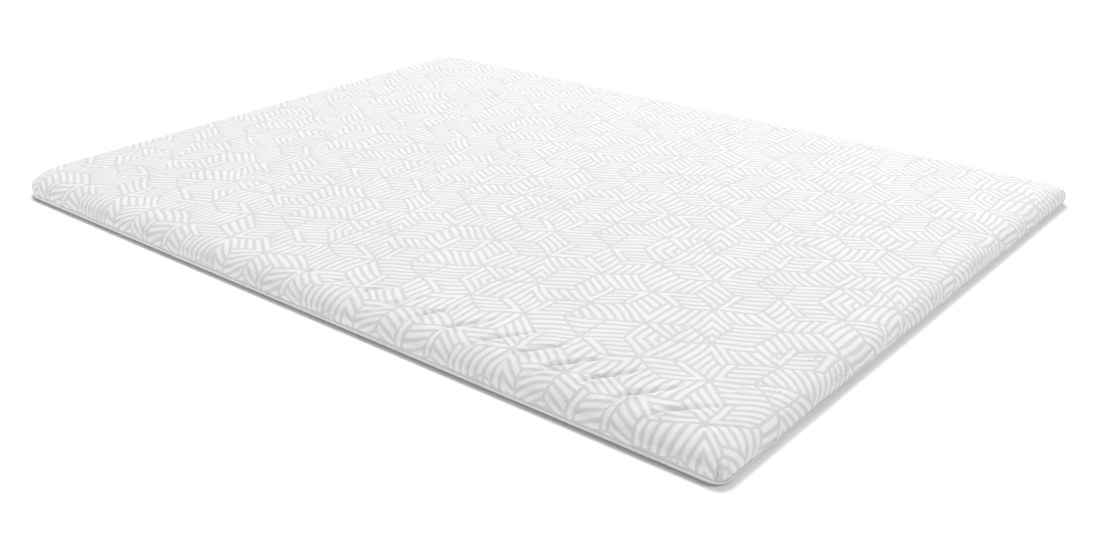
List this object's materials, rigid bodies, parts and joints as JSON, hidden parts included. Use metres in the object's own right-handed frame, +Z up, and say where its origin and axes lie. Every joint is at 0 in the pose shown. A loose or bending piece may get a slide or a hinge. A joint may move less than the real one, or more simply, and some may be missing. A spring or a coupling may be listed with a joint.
{
  "type": "mattress topper",
  "caption": "Thin foam-filled mattress topper with a soft-shouldered cover of white figured stretch knit over a plain pale base cloth with a turned-up edge.",
  "frame": {"origin": "on the surface the topper lies on, under its middle", "axes": "+X along the length, +Y across the width, +Z up"},
  "size_m": [2, 1.5, 0.055],
  "materials": {
    "figured_knit": "matte double-faced stretch knit, raised white bands on a pale grey ground",
    "plain_knit": "matte plain fine knit, pale grey"
  },
  "bodies": {
    "root": {"figured_pad": "figured_knit", "base_cloth": "plain_knit"}
  },
  "joints": []
}
